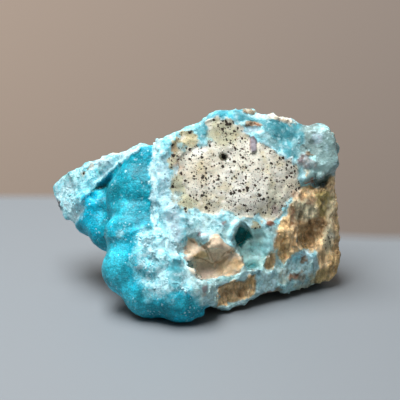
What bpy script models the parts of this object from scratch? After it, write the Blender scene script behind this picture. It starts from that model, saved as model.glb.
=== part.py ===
"""A rough hand specimen of botryoidal hemimorphite on its speckled matrix.

The stone is one piece. It is a leaning block with one corner towards the front: left of
that corner it is a thick crust of rounded lobes, which runs out to the left in a thin wing,
and right of it the stone is broken open and shows the crust's edge, a pale matrix, a small
vug and hollows of brown clay. +X is to the right, +Y to the back and +Z up. The origin is
under the middle of the stone, on the surface that it stands on.
"""

import math

import bmesh
import bpy
from mathutils import Euler, Matrix, Vector, noise

MM = 0.001

# Driving dimensions, in millimetres. The finished stone is brought to exactly this size.
WIDTH = 106.0  # from the wing's tip to the right side
DEPTH = 70.0  # from the front lobes to the back
HEIGHT = 64.0

# How finely the stone is modelled, in millimetres, and the rounds of smoothing that the
# skin gets: little on the broken blocks, more over the lobes, and little once hollowed
FIRST_VOXEL = 1.5
FINE_VOXEL = 1.1
BROKEN_WEAR = 1
LOBE_WEAR = 5
TRIANGLES = 9400  # in the finished solid
FOOT_CUT = 1.0  # how much of the lowest bumps is cut off flat

NODE = "hemimorphite"

# Corners of the broken blocks, in millimetres: right, back, up
BODY = [
    (-12.9, -8.0, 57.0),
    (-14.0, -18.5, 39.0),
    (-11.6, -27.0, 27.0),
    (-4.7, -34.0, 15.6),
    (2.0, -35.0, 4.5),
    (3.8, 2.0, 61.0),
    (8.0, 5.0, 63.6),
    (18.1, 8.0, 64.3),
    (30.2, 10.0, 61.0),
    (47.0, 9.0, 56.0),
    (50.3, 3.0, 37.0),
    (50.2, 1.0, 24.0),
    (53.4, -1.0, 9.3),
    (50.0, -2.0, 3.4),
    (37.0, -9.0, 0.8),
    (27.7, -14.0, 1.4),
    (8.2, -27.0, 1.6),
    (-10.0, 22.0, 48.0),
    (20.0, 25.0, 58.0),
    (43.0, 22.0, 52.0),
    (51.2, 12.0, 30.0),
    (50.6, 13.0, 12.0),
    (46.0, 24.0, 26.0),
    (30.0, 28.0, 40.0),
    (24.0, 30.0, 16.0),
    (0.0, 29.0, 30.0),
    (44.0, 17.0, 0.2),
    (12.0, 23.0, 0.0),
    (-18.0, 21.0, 0.4),
    (-20.0, 27.0, 14.0),
    (-30.0, 22.0, 24.0),
    (-24.0, -2.0, 14.0),
]
KNOB = [
    (28.0, 6.0, 58.0),
    (34.0, 0.0, 50.0),
    (48.0, 7.5, 58.4),
    (51.2, 7.5, 55.5),
    (53.6, 6.0, 49.0),
    (50.6, 2.0, 43.4),
    (38.0, -4.0, 42.0),
    (44.0, 24.0, 56.0),
    (50.0, 20.0, 46.0),
    (34.0, 20.0, 40.0),
]
WING = [
    (-54.2, 18.0, 33.0),
    (-49.0, 16.0, 37.0),
    (-36.7, 11.0, 46.2),
    (-30.3, 8.0, 48.6),
    (-17.5, 1.0, 53.2),
    (-13.8, -2.0, 53.8),
    (-52.4, 17.0, 28.2),
    (-47.4, 11.0, 22.6),
    (-36.6, 2.0, 18.0),
    (-30.0, -4.0, 18.5),
    (-50.0, 23.0, 32.0),
    (-38.0, 25.0, 40.0),
    (-36.0, 28.0, 31.0),
    (-15.0, 26.0, 45.0),
    (-41.0, 21.0, 22.0),
    (-26.0, 22.0, 12.0),
]


class Lump:
    """An ellipsoid in millimetres: a rounded lobe of the crust, or the form of a hollow."""

    def __init__(self, centre, radii, turn=(0, 0, 0)):
        self.centre = Vector(centre) * MM
        self.radii = Vector(radii) * MM
        self.turn = Euler([math.radians(a) for a in turn])

    def matrix(self):
        return Matrix.LocRotScale(self.centre, self.turn, self.radii)


# Rounded lobes of the crust
LOBES = [
    Lump((-22.0, -21.0, 15.4), (9.2, 9.4, 10.0)),
    Lump((-14.4, -27.0, 9.2), (9.6, 8.8, 9.4)),
    Lump((-3.1, -31.0, 10.4), (11.8, 9.2, 10.6)),
    Lump((-11.6, -25.5, 21.7), (9.6, 9.0, 9.8)),
    Lump((-20.6, -15.0, 26.0), (10.0, 9.0, 9.4)),
    Lump((-20.3, -7.0, 35.0), (10.6, 8.6, 12.8), (0, 0, -25)),
    Lump((-36.4, 3.5, 28.1), (7.4, 6.0, 9.6), (0, 25, -25)),
    Lump((-18.8, -2.0, 45.8), (8.8, 6.4, 9.0), (0, 0, -20)),
    Lump((-30.0, -3.0, 21.8), (8.6, 6.6, 6.4), (0, 20, -25)),
]

# Hollows: the vug's dark corner and its bowl, the clay pocket and the small hollow above it,
# the small pocket, the patch at the foot, the notch under the knob, two hollows in the clay
# side, the crevice beside the wing, the gap under the front and the wing's hollow underside
HOLLOWS = [
    Lump((16.0, -18.5, 25.6), (2.9, 7.5, 3.9), (0, 25, 0)),
    Lump((21.0, -19.5, 20.4), (5.4, 7.4, 5.9)),
    Lump((7.0, -28.0, 19.4), (9.2, 7.2, 5.0), (0, -12, 0)),
    Lump((1.4, -26.5, 24.6), (5.0, 5.0, 3.6), (0, 30, 0)),
    Lump((26.9, -17.8, 16.6), (2.3, 4.4, 3.9), (0, 14, 0)),
    Lump((15.1, -28.0, 7.6), (7.8, 5.0, 5.2), (0, -16, 25)),
    Lump((46.5, -1.0, 40.6), (7.0, 7.0, 2.2), (0, -10, 0)),
    Lump((31.0, -15.5, 21.4), (2.7, 5.0, 8.8), (0, 5, 0)),
    Lump((41.8, -8.6, 21.6), (5.2, 5.4, 6.2), (0, -8, 0)),
    Lump((-31.5, 1.0, 37.6), (5.6, 6.5, 1.8), (0, -47, 0)),
    Lump((24.0, -8.0, -4.6), (27.0, 15.0, 7.4), (0, 0, 28)),
    Lump((-36.0, 18.0, 7.0), (22.0, 20.0, 10.0), (0, 24, 10)),
]
UNEVEN = 1.5  # how far a hollow's wall strays from its ellipsoid
UNEVEN_LENGTH = 4.0

# The two edges, as (right, up), where the broken stone stands over the lobes: the corner of
# the block, from the top down, and the wing's, from the outside up. Below its corner the
# crust runs on to the right along the foot.
CORNER_EDGE = [(-12.9, 60.0), (-13.2, 48.0), (-13.6, 38.5), (-10.6, 27.0)]
WING_EDGE = [(-46.0, 19.0), (-42.4, 27.7), (-35.2, 37.0), (-27.5, 45.3), (-22.0, 53.0)]
CRUST_EDGE = CORNER_EDGE + [(-4.5, 15.0), (-1.5, 4.0)]
CRUST_BLEND = 2.5
BANK = 1.5  # how far the broken stone stands over the lobes
BANK_SLOPE = 1.4
BANK_WIDTH = 9.0
BANK_TOP = 0.3  # the share of that width before it starts to sink back

# The crust is on the sides that face this way; below the start there is none
CRUST_FACES = Vector((0.0, -0.9, -0.5))
CRUST_START = -0.35
CRUST_GAIN = 3.0

# The pale matrix, which broke nearly flat, and the ribbed clay side at the right
CALM = Lump((15.0, -10.0, 46.0), (25.0, 18.0, 17.0))
CALM_SHARE = 0.75  # how much of the chips it is spared
RIBBED = Lump((44.0, -4.0, 22.0), (17.0, 16.0, 22.0))

# The relief, in millimetres: how high it stands, and how far apart it lies
SWELL, SWELL_LENGTH = 0.9, 16.0
RIB, RIB_WIDTH, RIB_HEIGHT = 2.4, 3.6, 13.0
CAP, CAP_WIDTH = 0.9, 7.0
CAP_LEVEL = 0.35  # the share of a cap that stands out of the crust's mean skin

# Chips knocked off the broken stone: how far apart they lie, and how deep they go
CHIPS = [(10.0, 2.6), (5.2, 1.3), (2.9, 0.55)]
CHIP_LEAN = 1.5
CHIP_LEAST, CHIP_VARIES = 0.3, 0.5  # each one's depth, as a share
CHIP_DRAW = 7.3  # spreads the chips' middles out before the chance of each is drawn
CHIP_HOLLOW = 0.6
CHIP_ALLOWANCE = 1.5  # what the chips take off on average, which the blocks leave out


def clear_scene():
    for obj in list(bpy.data.objects):
        bpy.data.objects.remove(obj)


def collection(name):
    made = bpy.data.collections.new(name)
    bpy.context.scene.collection.children.link(made)
    return made


def add_block(shape, corners):
    """A broken block: the convex solid through these corners."""
    points = [shape.verts.new(Vector(place) * MM) for place in corners]
    hull = bmesh.ops.convex_hull(shape, input=points)
    inner = {v for v in hull["geom_interior"] + hull["geom_unused"] if isinstance(v, bmesh.types.BMVert)}
    bmesh.ops.delete(shape, geom=list(inner), context="VERTS")


def object_of(shape, name, home):
    mesh = bpy.data.meshes.new(name)
    shape.to_mesh(mesh)
    shape.free()
    obj = bpy.data.objects.new(name, mesh)
    home.objects.link(obj)
    return obj


def broken_blocks(home):
    """The body, the knob and the wing, still separate shells in one mesh."""
    shape = bmesh.new()
    for corners in (BODY, KNOB, WING):
        add_block(shape, corners)
    return object_of(shape, NODE, home)


def helpers(lumps, name, home, uneven=0.0):
    """The ellipsoids as hidden objects, for a Boolean to add or cut."""
    for number, lump in enumerate(lumps, 1):
        shape = bmesh.new()
        bmesh.ops.create_icosphere(shape, subdivisions=4, radius=1.0, matrix=lump.matrix())
        for v in shape.verts:
            stray = uneven * noise.noise(v.co / (UNEVEN_LENGTH * MM))
            v.co += (v.co - lump.centre).normalized() * stray * MM
        helper = object_of(shape, f"{name}_{number}", home)
        helper.hide_render = True
        helper.display_type = "WIRE"


def grow_together(stone, voxel, wear):
    remesh = stone.modifiers.new("One skin", "REMESH")
    remesh.mode = "VOXEL"
    remesh.voxel_size = voxel * MM
    smooth = stone.modifiers.new("Worn", "SMOOTH")
    smooth.factor = 0.5
    smooth.iterations = wear


def combine(stone, helpers_home, operation):
    boolean = stone.modifiers.new(operation.title(), "BOOLEAN")
    boolean.operation = operation
    boolean.operand_type = "COLLECTION"
    boolean.collection = helpers_home
    boolean.solver = "EXACT"


def apply_modifiers(stone):
    """Makes the mesh what the modifiers show, and takes them off."""
    graph = bpy.context.evaluated_depsgraph_get()
    mesh = bpy.data.meshes.new_from_object(stone.evaluated_get(graph))
    stone.modifiers.clear()
    stone.data = mesh


def eased(share):
    share = min(max(share, 0.0), 1.0)
    return share * share * (3.0 - 2.0 * share)


def within(point, lump):
    """From 0 outside the ellipsoid to 1 in its middle half."""
    inside = (lump.matrix().inverted() @ point).length
    return eased(2.0 * (1.0 - inside))


def swell(point):
    """The slow unevenness of broken stone, in millimetres."""
    return SWELL * noise.noise(point / (SWELL_LENGTH * MM))


def chipped(point, spacing):
    """How deep the chips of one size go here, as a share: flat hollows with ridges between."""
    scaled = point / (spacing * MM)
    deepest = 0.0
    for gap, middle in zip(*noise.voronoi(scaled)):
        chance = noise.cell_vector(middle * CHIP_DRAW)
        lean = CHIP_LEAN * (scaled - middle).dot(chance - Vector((0.5, 0.5, 0.5)))
        depth = CHIP_LEAST + CHIP_VARIES * chance.x - CHIP_HOLLOW * gap * gap
        deepest = max(deepest, depth + lean)
    return deepest


def ribs(point):
    """Upright ribs of clay, in millimetres."""
    cell = (RIB_WIDTH, RIB_WIDTH, RIB_HEIGHT)
    return RIB * noise.noise(Vector([place / (size * MM) for place, size in zip(point, cell)]))


def lobed(point):
    """The crust's skin, in millimetres: low caps that meet in creases."""
    near = noise.voronoi(point / (CAP_WIDTH * MM))[0][0]
    return CAP * (CAP_LEVEL - near * near)


def beyond(point, edge):
    """How far the point lies to the left of an edge, seen from the front as one walks it."""
    nearest = None
    for start, end in zip(edge, edge[1:]):
        run = Vector(end) - Vector(start)
        away = Vector((point.x, point.z)) / MM - Vector(start)
        share = min(max(away.dot(run) / run.length_squared, 0.0), 1.0)
        gap = (away - run * share).length
        if nearest is None or gap < abs(nearest):
            nearest = math.copysign(gap, run.x * away.y - run.y * away.x)
    return nearest


def faces_front(normal):
    """From 0 on the back and the top to 1 where the crust could be."""
    return eased(CRUST_GAIN * (normal.dot(CRUST_FACES) - CRUST_START))


def is_lobed(point, normal):
    """From 0 on broken stone to 1 on the lobed crust, which covers the front's left."""
    inside = min(-beyond(point, CRUST_EDGE), -beyond(point, WING_EDGE))
    return eased(inside / CRUST_BLEND) * faces_front(normal)


def bank(point, normal):
    """The low step up from the lobes to the broken stone, in millimetres."""
    height = 0.0
    for edge in (CORNER_EDGE, WING_EDGE):
        past = beyond(point, edge)
        sinking = eased(past / BANK_WIDTH - BANK_TOP)
        height = max(height, eased(past / BANK_SLOPE) * (1.0 - sinking))
    return BANK * height * faces_front(normal)


def relief(point, normal):
    """How far the skin moves out here, in millimetres."""
    chips = sum(depth * chipped(point, spacing) for spacing, depth in CHIPS)
    broken = swell(point) + CHIP_ALLOWANCE - chips
    broken *= 1.0 - CALM_SHARE * within(point, CALM)
    broken += within(point, RIBBED) * ribs(point)
    share = is_lobed(point, normal)
    return share * lobed(point) + (1.0 - share) * broken + bank(point, normal)


def roughen(stone):
    """Moves the skin in or out: rounded on the crust, and chipped where the stone broke."""
    shape = bmesh.new()
    shape.from_mesh(stone.data)
    shape.normal_update()
    places = [v.co + v.normal * relief(v.co, v.normal) * MM for v in shape.verts]
    for v, place in zip(shape.verts, places):
        v.co = place
    shape.to_mesh(stone.data)
    shape.free()


def thin_out(stone):
    """Keeps the triangles where the stone bends and drops them where it is flat."""
    thinner = stone.modifiers.new("Fewer faces", "DECIMATE")
    thinner.ratio = TRIANGLES / sum(len(face.vertices) - 2 for face in stone.data.polygons)
    apply_modifiers(stone)


def flatten_base(stone):
    """Cuts the lowest bumps off flat, which gives the stone its feet."""
    shape = bmesh.new()
    shape.from_mesh(stone.data)
    floor = min(v.co.z for v in shape.verts) + FOOT_CUT * MM
    everything = shape.verts[:] + shape.edges[:] + shape.faces[:]
    cut = bmesh.ops.bisect_plane(
        shape, geom=everything, plane_co=(0, 0, floor), plane_no=(0, 0, -1), clear_outer=True
    )
    rim = [e for e in cut["geom_cut"] if isinstance(e, bmesh.types.BMEdge)]
    bmesh.ops.holes_fill(shape, edges=rim)
    bmesh.ops.triangulate(shape, faces=shape.faces[:])
    bmesh.ops.remove_doubles(shape, verts=shape.verts[:], dist=0.02 * MM)
    bmesh.ops.recalc_face_normals(shape, faces=shape.faces[:])
    shape.to_mesh(stone.data)
    shape.free()


def bring_to_size(stone):
    """Scales the stone to its measured size, and sets the origin under its middle."""
    places = [v.co for v in stone.data.vertices]
    low = Vector([min(p[axis] for p in places) for axis in range(3)])
    high = Vector([max(p[axis] for p in places) for axis in range(3)])
    size = Vector((WIDTH, DEPTH, HEIGHT)) * MM
    scale = Matrix.Diagonal([size[axis] / (high - low)[axis] for axis in range(3)]).to_4x4()
    foot = Vector(((low.x + high.x) / 2, (low.y + high.y) / 2, low.z))
    stone.data.transform(scale @ Matrix.Translation(-foot))


def stone_material():
    material = bpy.data.materials.new("hemimorphite")
    material.use_nodes = True
    surface = material.node_tree.nodes["Principled BSDF"]
    surface.inputs["Base Color"].default_value = (0.10, 0.48, 0.56, 1.0)
    surface.inputs["Roughness"].default_value = 0.45
    surface.inputs["Metallic"].default_value = 0.0
    return material


def main():
    clear_scene()
    home = collection("hemimorphite specimen")
    hollows = collection("hollows")
    lobes = collection("lobes")
    helpers(HOLLOWS, "hollow", hollows, UNEVEN)
    helpers(LOBES, "lobe", lobes)
    stone = broken_blocks(home)
    grow_together(stone, FIRST_VOXEL, BROKEN_WEAR)
    combine(stone, lobes, "UNION")
    grow_together(stone, FINE_VOXEL, LOBE_WEAR)
    combine(stone, hollows, "DIFFERENCE")
    grow_together(stone, FINE_VOXEL, BROKEN_WEAR)
    apply_modifiers(stone)
    roughen(stone)
    thin_out(stone)
    flatten_base(stone)
    bring_to_size(stone)
    stone.data.materials.append(stone_material())


main()
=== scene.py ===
"""A rough hand specimen of blue hemimorphite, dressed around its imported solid.

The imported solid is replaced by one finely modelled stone, which gets its relief and its
colours in the same frame. Small crystals, white blades and crumbs of crust are laid on it.
Everything is in metres: +X is to the right, +Y to the back and +Z up.
"""

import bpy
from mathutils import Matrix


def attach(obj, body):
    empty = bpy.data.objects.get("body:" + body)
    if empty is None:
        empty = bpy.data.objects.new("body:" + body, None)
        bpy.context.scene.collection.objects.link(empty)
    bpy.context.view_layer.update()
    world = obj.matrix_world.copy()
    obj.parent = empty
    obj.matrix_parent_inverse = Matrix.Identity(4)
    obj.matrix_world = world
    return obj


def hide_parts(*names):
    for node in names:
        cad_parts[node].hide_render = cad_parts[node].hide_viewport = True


bl_info = {
    "name": "Hemimorphite Specimen",
    "version": (1, 0, 0),
    "blender": (4, 5, 0),
    "location": "3D View > Sidebar > Hemimorphite",
    "description": "Builds a rough blue hemimorphite specimen around its packed solid",
    "category": "Object",
}

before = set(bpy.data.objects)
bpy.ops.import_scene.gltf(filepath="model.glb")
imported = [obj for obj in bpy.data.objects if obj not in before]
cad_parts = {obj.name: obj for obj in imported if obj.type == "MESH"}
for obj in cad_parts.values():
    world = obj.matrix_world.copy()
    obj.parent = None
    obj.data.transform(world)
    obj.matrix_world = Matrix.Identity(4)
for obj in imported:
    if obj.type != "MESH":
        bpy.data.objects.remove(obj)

import math
from collections import namedtuple

import bmesh
import bpy
import numpy as np
from bpy.props import FloatProperty, FloatVectorProperty, IntProperty, PointerProperty
from mathutils import Matrix, Vector, noise

MM = 0.001
NODE = "hemimorphite"
BODY = "root"
STONE = "stone"

# How the stone's mesh is made
MERGE = 0.01 * MM
FIRST_SKIN = 0.40 * MM
STONE_TRIANGLES = 196000
SHARP_EDGE = math.radians(40.0)
FOOT = 0.05 * MM  # what lies this low stays flat on the table
ALL_OVER = ""
WEAR = ((ALL_OVER, 3), ("crust", 70), ("glassy", 18))  # rounds of smoothing for each finish
WEAR_LEVELS = 4

# How its noise behaves
STIR_SEED = 7  # noise vectors differ from run to run without a seed
OCTAVE_FALL, OCTAVE_STEP = 0.9, 2.1  # how fast the octaves grow fainter and finer
CELL_SPREAD = 9.7  # gives the middles of neighbouring grains chances of their own
CHIP_LEAN = 1.5  # how much the faces of the chips tilt
UPRIGHT = (1.0, 1.0, 0.4)  # draws the streaks of clay out upwards

# How paint wanders from its mark: lumps in millimetres, and how many pixels each may add
WANDERS = ((5.0, 3.6), (1.9, 3.0), (0.8, 1.4))
WANDER_REACH = 8.0  # what they add up to
# Painted shade on the upward faces at the back, darker so that they don't glare under the lamp
# overhead: from how far back it starts and over how far, in millimetres, and by what share
TOP_SHADE_FROM, TOP_SHADE_OVER, TOP_SHADE_DARK = 12.0, 6.0, 0.35

# The small pieces: their random seed, their sizes in millimetres, how much they tilt, and
# how much of their size is sunk in the stone
DRUSE = {"seed": 11, "sizes": (0.14, 0.30), "sway": 0.45, "sunk": 0.0}
WHITE_BLADES = {"seed": 12, "sizes": (0.5, 1.1), "sway": 0.7, "sunk": 0.2}
CRUMBS = {"seed": 13, "sizes": (0.30, 0.75), "sway": 0.8, "sunk": 0.0}
BARE_FOOT = 1.5 * MM  # none of them stands lower than this
# A blade's width, thickness and height, how far its wedge rises, and how that narrows
BLADE = (0.75, 0.45, 0.7)
WEDGE_RISE = 0.25
WEDGE = (0.55, 0.15, 1.0)
CRUMB_ROUGH = 0.45

# The table's near side, how far its far edge is out of focus, and that edge, in millimetres
TABLE_NEAR = 1400.0
EDGE_BLUR = 7.0
TABLE_EDGE = (
    (-1400.0, 118.0), (-20.0, 118.0), (30.0, 86.0), (46.0, 67.5), (58.0, 62.0), (75.0, 60.0),
    (1400.0, 46.0),
)

# The wall and the lamp, in metres, and the colour and strength of the room's light
WALL_WIDE, WALL_HIGH, WALL_BACK = 6.0, 4.0, 1.6
LAMP_SIZE = (0.6, 0.3)
LAMP_PLACE = Vector((-0.11, -0.01, 0.55))
LAMP_AIM = Vector((0.0, 0.0, 0.03))
ROOM_COLOUR = (1.0, 0.99, 0.97, 1.0)
ROOM_LIGHT = 0.14

# The photograph's camera: what it looks at, how far off it is, and how it is tilted
LOOKS_AT = Vector((2.0, 4.5, 33.0)) * MM
CAMERA_AWAY = 420.0 * MM
CAMERA_TILT = math.radians(17.0)
LENS, SENSOR = 106.0, 36.0
PICTURE = 400.0  # the picture's width and height, in pixels


def seen(places):
    """Where places show in the picture: pixels to the right, and pixels down."""
    up = np.array((0.0, math.sin(CAMERA_TILT), math.cos(CAMERA_TILT)))
    ahead = np.array((0.0, math.cos(CAMERA_TILT), -math.sin(CAMERA_TILT)))
    away = places - (np.array(LOOKS_AT) - ahead * CAMERA_AWAY)
    gain = LENS / SENSOR * PICTURE / (away @ ahead)
    return np.column_stack((PICTURE / 2 + away[:, 0] * gain, PICTURE / 2 - away @ up * gain))


def facing(normals):
    """From 0 on the sides turned away from the camera to 1 on those turned towards it."""
    back = np.array((0.0, -math.cos(CAMERA_TILT), math.sin(CAMERA_TILT)))
    return eased(0.25 + 3.0 * (normals @ back))


def eased(share):
    """The share, kept from 0 to 1 and rounded off at both ends."""
    share = np.clip(share, 0.0, 1.0)
    return share * share * (3.0 - 2.0 * share)


# Marks on the stone, in the picture's pixels. Each knows how far inside it a pixel is.


class Area:
    """The inside of an outline."""

    def __init__(self, *corners):
        self.corners = np.array(corners, dtype=float)
        self.low, self.high = self.corners.min(axis=0), self.corners.max(axis=0)

    def inside(self, spots):
        gap = np.full(len(spots), np.inf)
        within = np.zeros(len(spots), dtype=bool)
        for start, end in zip(self.corners, np.roll(self.corners, -1, axis=0)):
            gap = np.minimum(gap, distance_to(spots, start, end))
            level = (start[1] > spots[:, 1]) != (end[1] > spots[:, 1])
            slope = (end[0] - start[0]) / (end[1] - start[1] or 1.0)
            within ^= level & (spots[:, 0] < slope * (spots[:, 1] - start[1]) + start[0])
        return np.where(within, gap, -gap)


class Spot:
    """A round or oval mark."""

    def __init__(self, right, down, radius, height=None, turn=0.0):
        self.middle = np.array((right, down), dtype=float)
        self.radii = np.array((radius, height or radius), dtype=float)
        self.turn = math.radians(turn)
        self.low, self.high = self.middle - self.radii.max(), self.middle + self.radii.max()

    def inside(self, spots):
        away = spots - self.middle
        cos, sin = math.cos(self.turn), math.sin(self.turn)
        along = away @ np.array(((cos, -sin), (sin, cos)))
        return (1.0 - np.linalg.norm(along / self.radii, axis=1)) * self.radii.min()


class Stroke:
    """A line with some width."""

    def __init__(self, width, *points):
        self.width = width
        self.points = np.array(points, dtype=float)
        self.low, self.high = self.points.min(axis=0) - width, self.points.max(axis=0) + width

    def inside(self, spots):
        gap = np.full(len(spots), np.inf)
        for start, end in zip(self.points, self.points[1:]):
            gap = np.minimum(gap, distance_to(spots, start, end))
        return self.width / 2 - gap


def reached(mark, spots, reach):
    """Which of the pixels lie near enough to a mark to be changed by it."""
    near = (spots > mark.low - reach) & (spots < mark.high + reach)
    return np.flatnonzero(near.all(axis=1))


def distance_to(spots, start, end):
    """How far pixels are from a straight line between two points."""
    run = end - start
    share = np.clip((spots - start) @ run / (run @ run), 0.0, 1.0)
    return np.linalg.norm(spots - start - share[:, None] * run, axis=1)


# Colours of the stone, as a painter would name them
PAINTS = {
    "deep": (0.00, 0.54, 0.61),
    "azure": (0.00, 0.66, 0.77),
    "bright": (0.00, 0.73, 0.86),
    "aqua": (0.24, 0.78, 0.86),
    "sea": (0.00, 0.43, 0.48),
    # painted shade for the cleft beside the wing
    "crevice": (0.03, 0.30, 0.28),
    "ice": (0.56, 0.88, 0.93),
    "frost": (0.80, 0.95, 0.98),
    "lilac": (0.81, 0.90, 0.95),
    "mint": (0.63, 0.88, 0.86),
    "glass": (0.35, 0.65, 0.70),
    "pale": (0.70, 0.82, 0.80),
    "mist": (0.58, 0.82, 0.87),
    "slate": (0.50, 0.64, 0.64),
    "haze": (0.56, 0.66, 0.65),
    "vug": (0.80, 0.97, 0.95),
    # painted shade for the vug's hole
    "abyss": (0.09, 0.56, 0.56),
    "chalk": (0.92, 0.92, 0.89),
    "cream": (0.84, 0.83, 0.77),
    "sand": (0.81, 0.76, 0.65),
    "straw": (0.78, 0.73, 0.56),
    "olive": (0.69, 0.69, 0.57),
    "orange": (0.80, 0.64, 0.49),
    "tan": (0.91, 0.82, 0.71),
    "putty": (0.90, 0.83, 0.74),
    "clay": (0.92, 0.79, 0.60),
    "ochre": (0.89, 0.73, 0.49),
    "umber": (0.55, 0.43, 0.29),
    "rust": (0.54, 0.33, 0.23),
    "moss": (0.64, 0.59, 0.37),
    "sage": (0.79, 0.79, 0.68),
    "ash": (0.57, 0.55, 0.58),
    "plum": (0.50, 0.40, 0.42),
    # painted shade, near black, for the hole, the cleft's corner and the notch under the knob
    "coal": (0.05, 0.045, 0.04),
}

# What the surface is made of. Each finish is an attribute of the stone, from 0 to 1.
FINISHES = ("crust", "ice", "glassy", "matrix", "clay", "dull")
EARTH_ROUGHNESS = 0.85  # of matrix, clay and crumbs

# Clouds of another paint in each finish: how far their noise is shifted, the paint, their
# strength, their size in millimetres, their contrast, and what is cut off them
CLOUDS = {
    "crust": ((5.0, "aqua", 0.28, 2.4, 2.2, 0.35), (6.0, "deep", 0.60, 4.5, 2.2, 0.25)),
    "ice": ((11.0, "frost", 0.35, 2.2, 2.4, 0.3), (12.0, "glass", 0.55, 4.2, 2.4, 0.35)),
    "glassy": ((14.0, "slate", 0.5, 3.0, 2.4, 0.35), (15.0, "frost", 0.55, 1.5, 3.0, 0.9)),
    "matrix": ((7.0, "straw", 0.5, 4.0, 2.0, 0.3), (8.0, "chalk", 0.5, 3.0, 2.0, 0.3)),
    "clay": ((9.0, "umber", 0.5, 2.0, 2.4, 0.6), (10.0, "sand", 0.4, 1.6, 2.4, 0.5)),
}

# Sizes of the dark specks: size beside the spacing, rarity, reach in the cell, and darkness
SPECKS = ((1.10, 0.42, 0.46, 1.0), (0.66, 0.46, 0.48, 0.95), (0.38, 0.50, 0.48, 0.75))

# Where the finishes and paints lie in the picture
BLUE = Area(
    (138, 149), (150, 146), (156, 149), (154, 165), (152, 185), (153, 205), (150, 222), (146, 232),
    (139, 238), (137, 250), (140, 262), (142, 278), (146, 290), (154, 298), (164, 297), (174, 291),
    (186, 290), (197, 300), (206, 306), (214, 304), (216, 316), (190, 330), (120, 330), (90, 290),
    (90, 250), (60, 232), (72, 224), (80, 216), (80, 205), (82, 198), (96, 187), (108, 176),
    (118, 165), (128, 157),
)
MATRIX = Area(
    (205, 123), (214, 119), (224, 118), (236, 121), (243, 127), (247, 135), (258, 141), (268, 147),
    (278, 153), (286, 160), (297, 165), (300, 175), (304, 186), (298, 194), (290, 200), (284, 206),
    (281, 213), (276, 219), (268, 222), (260, 217), (250, 217), (240, 217), (226, 213), (212, 214),
    (200, 212), (195, 204), (190, 199), (186, 190), (184, 178), (180, 168), (176, 160), (183, 155),
    (190, 150), (196, 145), (206, 145), (211, 141), (207, 135),
)
BORDER = Area(
    (177, 134), (186, 131), (194, 135), (198, 144), (192, 152), (184, 158), (186, 180), (190, 194),
    (197, 207), (192, 214), (182, 212), (174, 204), (170, 190), (171, 172), (169, 155), (171, 144),
)
TOP_BLUE = Area(
    (190, 128), (205, 119), (214, 112), (228, 110), (243, 109), (250, 112), (262, 115), (275, 118),
    (295, 120), (304, 124), (303, 135), (300, 148), (297, 160), (290, 161), (282, 155), (275, 148),
    (266, 142), (257, 136), (262, 130), (258, 123), (246, 121), (238, 120), (222, 117), (208, 122),
    (208, 136), (203, 142), (197, 138),
)
LOWER_CRUST = Area(
    (186, 214), (212, 216), (240, 218), (264, 222), (280, 228), (284, 262), (318, 256), (336, 270),
    (336, 296), (280, 302), (217, 312), (202, 300), (190, 280), (184, 262), (190, 240),
)
KNOB = Area(
    (302, 120), (316, 122), (330, 120), (340, 126), (346, 140), (348, 160), (340, 172), (330, 179),
    (320, 183), (308, 184), (300, 181), (297, 170), (297, 158), (301, 148), (303, 135),
)
CLAY_SIDE = Area(
    (303, 186), (312, 187), (322, 184), (332, 176), (345, 180), (345, 230), (352, 262), (348, 282),
    (330, 290), (318, 286), (312, 280), (320, 262), (318, 250), (300, 250), (292, 258), (284, 262),
    (276, 252), (275, 238), (279, 224), (285, 212), (292, 203),
)
POCKET = Area(
    (181, 248), (186, 245), (187, 236), (192, 239), (199, 247), (207, 243), (212, 237), (218, 236),
    (225, 243), (233, 249), (240, 256), (243, 264), (240, 273), (235, 275), (220, 276), (210, 279),
    (202, 280), (196, 275), (195, 262), (189, 262), (187, 255), (180, 251),
)
POCKET_FLOOR = Area(
    (196, 259), (204, 261), (212, 265), (218, 262), (224, 256), (233, 252), (239, 256), (243, 264),
    (240, 273), (235, 275), (220, 276), (210, 279), (202, 280), (196, 275),
)
FOOT_CLAY = Area(
    (216, 290), (217, 286), (223, 286), (228, 283), (236, 281), (245, 280), (250, 276), (255, 274),
    (257, 282), (256, 291), (250, 297), (240, 301), (228, 304), (217, 306),
)
HOLE = Spot(224.5, 156.5, 3.4, 3.0)
BROWN_PATCH = Spot(251, 124.5, 9, 3, 8)
BROWN_CAP = Spot(249, 110, 8, 3.5, 8)
TAN_CAP = Spot(281, 118, 14, 3.5, 8)
CLAY_SLOT = Spot(270.5, 261, 4.5, 9, 12)
VUG_DARK = Area((234, 238), (240, 226), (247, 229), (253, 237), (246, 241), (242, 248), (236, 244))
POCKET_WALL = ((190, 258), (191, 264), (194, 271))
VUG_RIM = ((236, 223), (232, 229), (230.5, 236), (233, 244))
CREVICE = ((92, 189), (99, 186.5), (105, 185.5))
FLAP = Area(
    (207, 244), (212, 237), (218, 236), (226, 243), (235, 249), (228, 252), (222, 258), (215, 264),
    (209, 259),
)
CHIP = Area((250, 137), (254, 135), (257, 141), (256.5, 151), (251.5, 153), (250, 147))
LEDGE = Area(
    (188, 238), (197, 246), (207, 250), (216, 262), (208, 264), (199, 262), (194, 256), (188, 248),
)
LIP = ((157, 137), (156, 150), (153, 163), (152, 185), (153, 205), (155, 216), (157, 226))
BELOW_LIP = ((160, 240), (172, 262))
WING_LIP = ((140, 149), (130, 155), (119, 164), (108, 174), (98, 184), (89, 192), (80, 202))
WHITE_PATCH = Area(
    (137, 228), (160, 222), (180, 240), (196, 262), (192, 292), (160, 300), (140, 272),
)

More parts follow.
